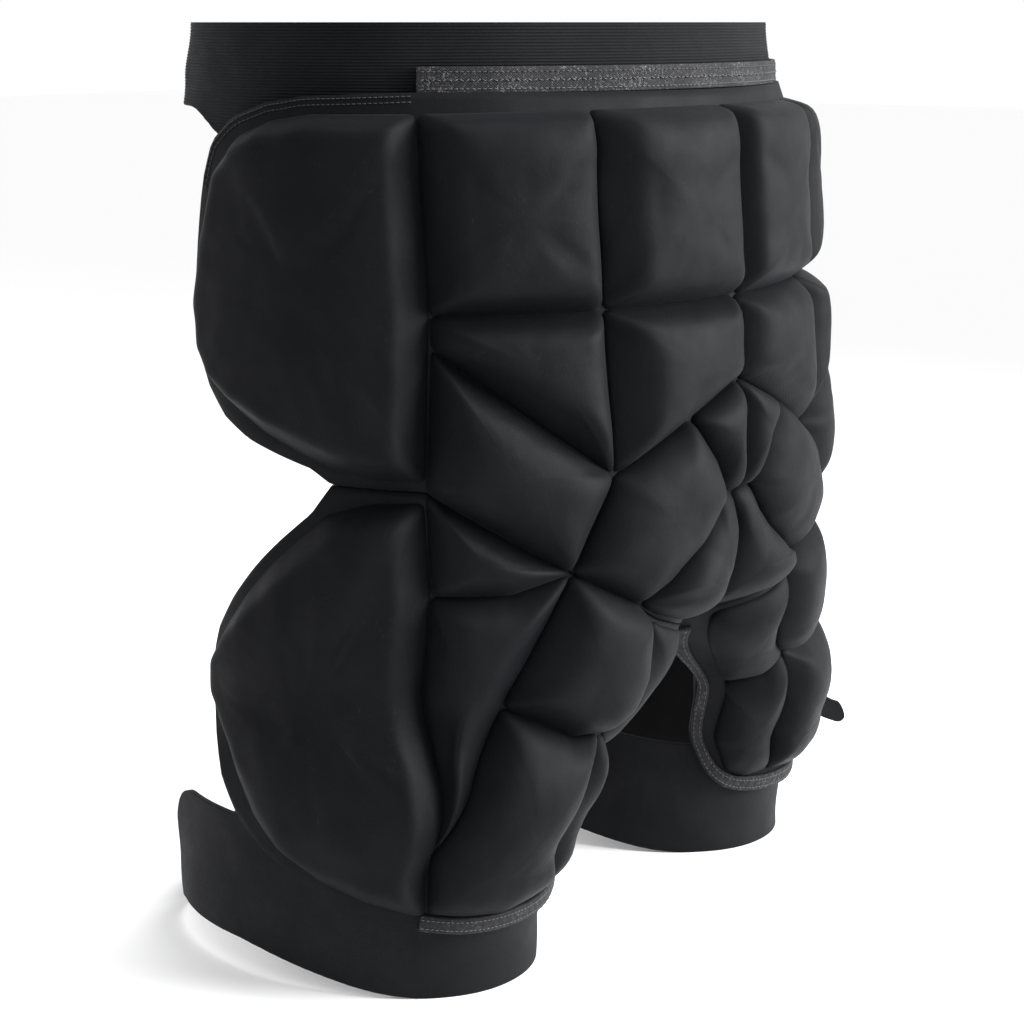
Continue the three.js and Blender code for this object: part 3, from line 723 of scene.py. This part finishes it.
def smooth_path(path, n):
    p = np.array([(d * MM_PER_DEG, z) for d, z in path], float)
    p = np.vstack([2 * p[0] - p[1], p, 2 * p[-1] - p[-2]])
    out = []
    for i in range(1, len(p) - 2):
        for t in np.linspace(0, 1, 12, endpoint=False):
            a, b, c, d = p[i - 1:i + 3]
            out.append(0.5 * (2 * b + (c - a) * t + (2 * a - 5 * b + 4 * c - d) * t * t
                              + (3 * b - a - 3 * c + d) * t ** 3))
    out.append(p[-2])
    out = np.array(out)
    cum = np.concatenate([[0], np.cumsum(np.linalg.norm(np.diff(out, axis=0), axis=1))])
    s = np.linspace(0, cum[-1], n)
    return np.stack([np.interp(s, cum, out[:, k]) for k in (0, 1)], -1), cum[-1]


def strip_at(path, width, inner, outer, n):
    line, _ = smooth_path(path, n)
    along = np.gradient(line, axis=0)
    along /= np.linalg.norm(along, axis=1, keepdims=True)
    across = np.stack([-along[:, 1], along[:, 0]], -1)

    def at(uu, vv):
        i = np.rint(uu * (n - 1)).astype(int)
        zn, on = section(vv, 0, 1, 0.0, 1.0, round_r=0.0, share=0.42)
        q = line[i] + across[i] * ((0.5 - zn) * width)[..., None]
        puff = 0.35 * np.sin(np.pi * zn) * (on > 0.5) + 0.12 * np.sin(i * 0.9 + zn * 5) * (on > 0.5)
        return form(q[..., 0] / MM_PER_DEG, q[..., 1], inner + (outer - inner) * on + puff), q
    return at


for side, hand in SIDES:
    t = tube(260, 26, strip_at(BIND, 7.0, 3.1, 4.5, 260))
    o = build(f"binding_thigh_{hand}", t[0], t[1], TAPE, t[2], side)
    attach(o, cad=f"thigh_binding_{hand}")


# The lining runs on across the crease, under the gap between the shells.
for side, hand in SIDES:
    t = tube(200, 26, strip_at([(0.0, 141)] + CREASE[1:-1] + [(74, 221)], 9.0, -0.9, -0.1, 200))
    o = build(f"crease_lining_{hand}", t[0], t[1], LINING, t[2], side)
    attach(o)


def stitches(name, path, off, mat, pitch=2.6, length=1.9, radius=0.22, side=1, slant=0.0):
    """A row of thread stitches lying on the shell along a path of pattern points."""
    _, total = smooth_path(path, 50)
    count = int(total / pitch)
    line, _ = smooth_path(path, count * 4 + 1)
    points, faces, flat = [], [], []
    for k in range(count):
        c = line[4 * k + 2]
        d = line[min(4 * k + 3, len(line) - 1)] - line[4 * k + 1]
        d /= np.linalg.norm(d) + 1e-9
        n = np.array([-d[1], d[0]])
        d = d + slant * n * (1 if k % 2 else -1)
        base = len(points)
        for a, (s, lift_) in enumerate(((-0.5, -0.1), (-0.25, 0.16), (0.25, 0.16), (0.5, -0.1))):
            for b in range(5):
                ang = 2 * math.pi * b / 5
                q = c + d * (s * length) + n * (radius * math.cos(ang))
                flat.append(q)
                points.append((q[0], q[1], off + lift_ + radius * math.sin(ang)))
        for a in range(3):
            for b in range(5):
                i0, i1 = base + 5 * a + b, base + 5 * a + (b + 1) % 5
                faces.append((i0, i1, i1 + 5, i0 + 5))
        faces.append(tuple(base + b for b in range(4, -1, -1)))
        faces.append(tuple(base + 15 + b for b in range(5)))
    p = np.array(points)
    pts = form(p[:, 0] / MM_PER_DEG, p[:, 1], p[:, 2])
    return build(name, pts, faces, mat, np.array(flat), side)


def beside(path, inset):
    """The path moved sideways on the pattern by inset, using the way from each point's neighbours."""
    out = []
    for i, (d, z) in enumerate(path):
        a = path[max(i - 1, 0)]
        b = path[min(i + 1, len(path) - 1)]
        v = np.array([(b[0] - a[0]) * MM_PER_DEG, b[1] - a[1]])
        v /= np.linalg.norm(v)
        out.append((d + v[1] * inset / MM_PER_DEG, z - v[0] * inset))
    return out


COVER_ROWS = ((2.2, THREAD, 1.45, 0.0), (5.6, THREAD, 1.5, 0.35), (8.8, DARK_THREAD, 1.45, 0.0))
EDGE_ANGLES = (59, 66, 73, 80, 85, 89, 92.5, 95.5, 98, 100, 101.8, 103, 104.8, 106)
for side, hand in SIDES:
    for k, (row, mat, off, slant) in enumerate(COVER_ROWS):
        path = [(57.5 - 57.3 * t, PANEL_TOP + row) for t in np.linspace(0, 1, 12)]
        o = stitches(f"coverstitch_{k}_{hand}", path, off, mat, side=side, slant=slant)
        attach(o, "hip")
    top = [(d, float(edge_at(HIP_TOP, d))) for d in EDGE_ANGLES]
    for k, inset in enumerate((1.8, 4.2)):
        path = beside(top, inset)
        o = stitches(f"edge_stitch_{k}_{hand}", path, SHELL_T + 0.05, DARK_THREAD, side=side)
        attach(o, "hip")
    for k, inset in enumerate((-1.9, 1.9)):
        line, _ = smooth_path(BIND, 24)
        g = np.gradient(line, axis=0)
        g /= np.linalg.norm(g, axis=1, keepdims=True)
        moved = line + np.stack([-g[:, 1], g[:, 0]], -1) * inset
        path = [(x / MM_PER_DEG, z) for x, z in moved]
        o = stitches(f"binding_stitch_{k}_{hand}", path, 4.72, THREAD, side=side, pitch=2.9)
        attach(o)


def end_at(uu, vv):
    half = (8.5 - 5 * uu ** 2) * np.sqrt(np.clip(1 - np.clip((uu - 0.8) / 0.2, 0, 1) ** 2 * 0.96, 0, 1))
    zn, on = section(vv, 0, 1, 0.0, 1.0, round_r=0.0, share=0.42)
    zz = 64 - 13 * uu + (2 * zn - 1) * half
    deg = 61.5 - 0.8 * (1 - on)
    return form(deg, zz, 13.5 + 21 * uu), np.stack([20 * uu, zz], -1)


t = tube(24, 26, end_at)
o = build("strap_tongue_right", t[0], [f[::-1] for f in t[1]], KNIT, t[2], -1)
attach(o, "thigh_right", "strap_end_right")

# ---- floor, light, camera ------------------------------------------------------------------------------
floor_mesh = bpy.data.meshes.new("floor")
floor_mesh.from_pydata([(-9, -9, 0), (9, -9, 0), (9, 9, 0), (-9, 9, 0)], [], [(0, 1, 2, 3)])
floor = bpy.data.objects.new("floor", floor_mesh)
bpy.context.scene.collection.objects.link(floor)
floor_mat, _, fb = nodes_of("floor")
fb.inputs["Base Color"].default_value = (0.97, 0.97, 0.97, 1)
fb.inputs["Roughness"].default_value = 0.9
fb.inputs["Specular IOR Level"].default_value = 0.1
floor_mesh.materials.append(floor_mat)

world = bpy.data.worlds.new("studio")
bpy.context.scene.world = world
world.use_nodes = True
world.node_tree.nodes["Background"].inputs[0].default_value = (1.0, 1.0, 1.0, 1)
world.node_tree.nodes["Background"].inputs[1].default_value = 1.0


def area(name, where, target, size, power, spread=180):
    light = bpy.data.lights.new(name, "AREA")
    light.shape = "RECTANGLE"
    light.size, light.size_y = size
    light.energy = power
    light.spread = math.radians(spread)
    o = bpy.data.objects.new(name, light)
    bpy.context.scene.collection.objects.link(o)
    o.location = where
    o.rotation_mode = "QUATERNION"
    o.rotation_quaternion = (Vector(target) - Vector(where)).to_track_quat("-Z", "Y")
    return o


area("key", (-0.83, 1.44, 0.80), (0, 0, 0.22), (1.2, 1.0), 24, spread=85)
area("top", (-0.2, 0.5, 2.0), (0, 0, 0.2), (1.0, 1.0), 3, spread=60)

cam_data = bpy.data.cameras.new("camera")
cam = bpy.data.objects.new("camera", cam_data)
bpy.context.scene.collection.objects.link(cam)
cam_data.sensor_width = 36
cam_data.lens = 75.832
cam_data.clip_start = 0.05
# It stands 1 m from the body's axis, behind the left hip and level with the waist, and looks slightly down.
CAM_AWAY, CAM_HEIGHT = 1.0, 0.404
turn, heading, pitch = (math.radians(a) for a in (52.5, 52.734, 12.8))
cam.location = (CAM_AWAY * math.sin(turn), CAM_AWAY * math.cos(turn) - CENTRE_Y * MM, CAM_HEIGHT)
look = Vector((-math.sin(heading) * math.cos(pitch), -math.cos(heading) * math.cos(pitch), -math.sin(pitch)))
cam.rotation_mode = "QUATERNION"
cam.rotation_quaternion = look.to_track_quat("-Z", "Y")
bpy.context.scene.camera = cam
bpy.context.scene.view_settings.view_transform = "Standard"
